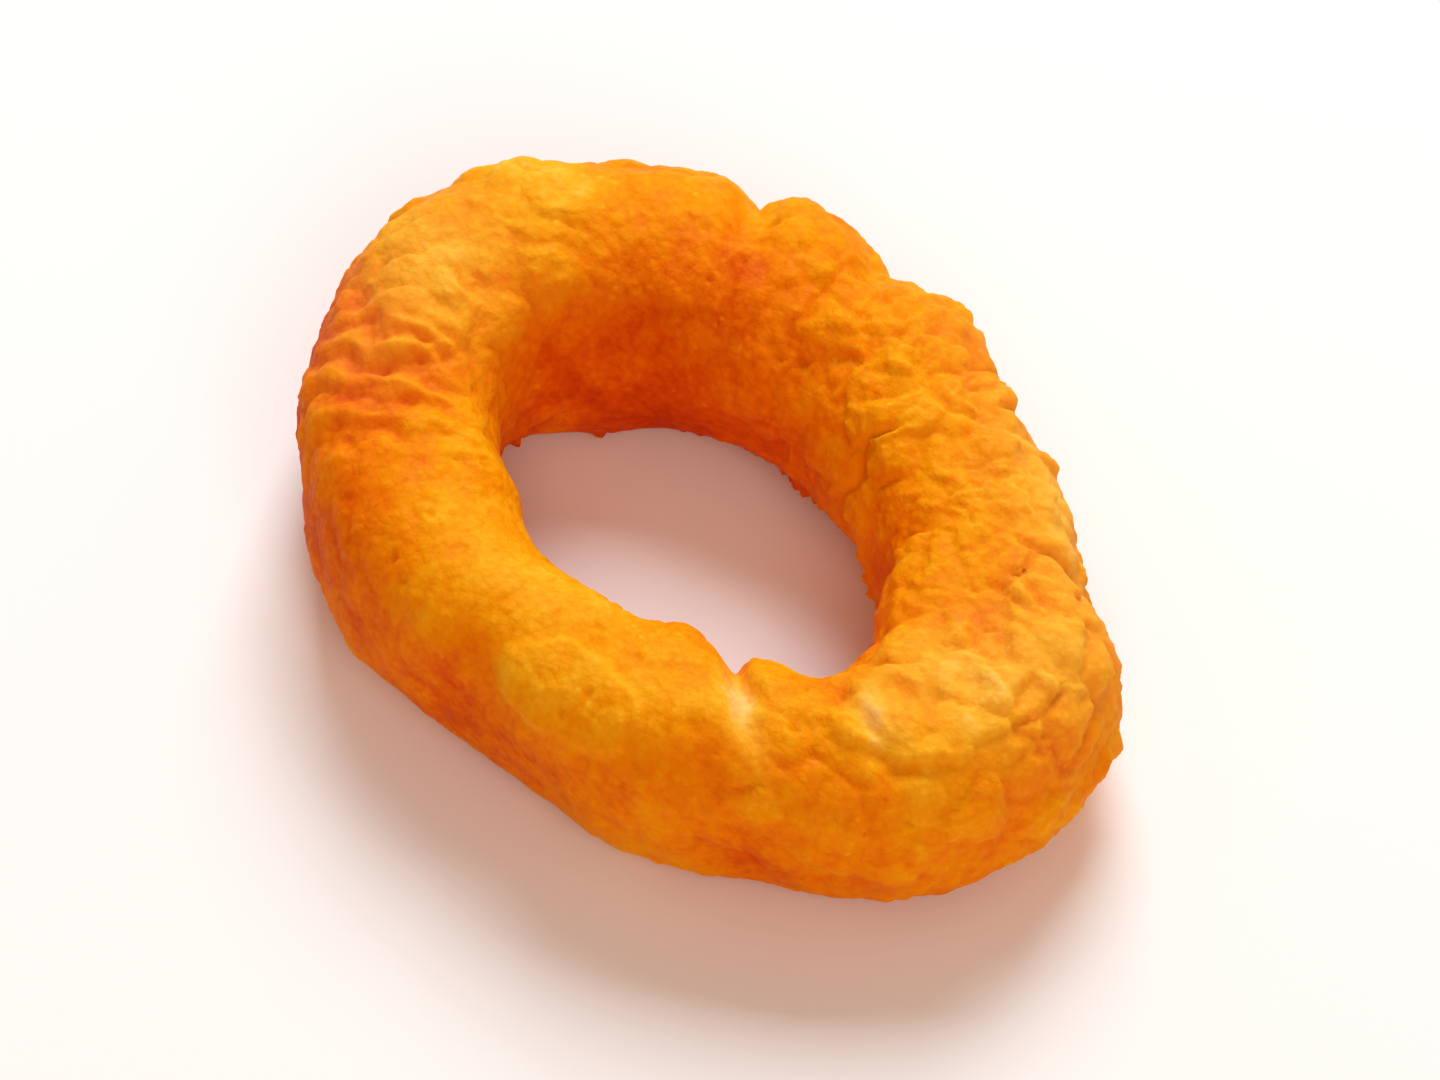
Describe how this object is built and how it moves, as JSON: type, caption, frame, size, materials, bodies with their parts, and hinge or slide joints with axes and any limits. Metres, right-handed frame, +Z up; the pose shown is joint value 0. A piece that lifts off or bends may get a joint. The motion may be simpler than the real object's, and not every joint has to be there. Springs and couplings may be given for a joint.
{
  "type": "onion ring",
  "caption": "Oval fried onion ring in a craggy golden batter crust, lying flat, with an open hole through its middle.",
  "frame": {"origin": "on the surface that the ring lies on, under the middle of its outline", "axes": "+Z up out of the lying ring, X along its long side, Y across it"},
  "size_m": [0.0758, 0.0542, 0.0199],
  "materials": {
    "fried_batter": "golden fried batter crust with a fine crumb and a slight oily sheen"
  },
  "bodies": {
    "root": {"onion_ring": "fried_batter"}
  },
  "joints": []
}
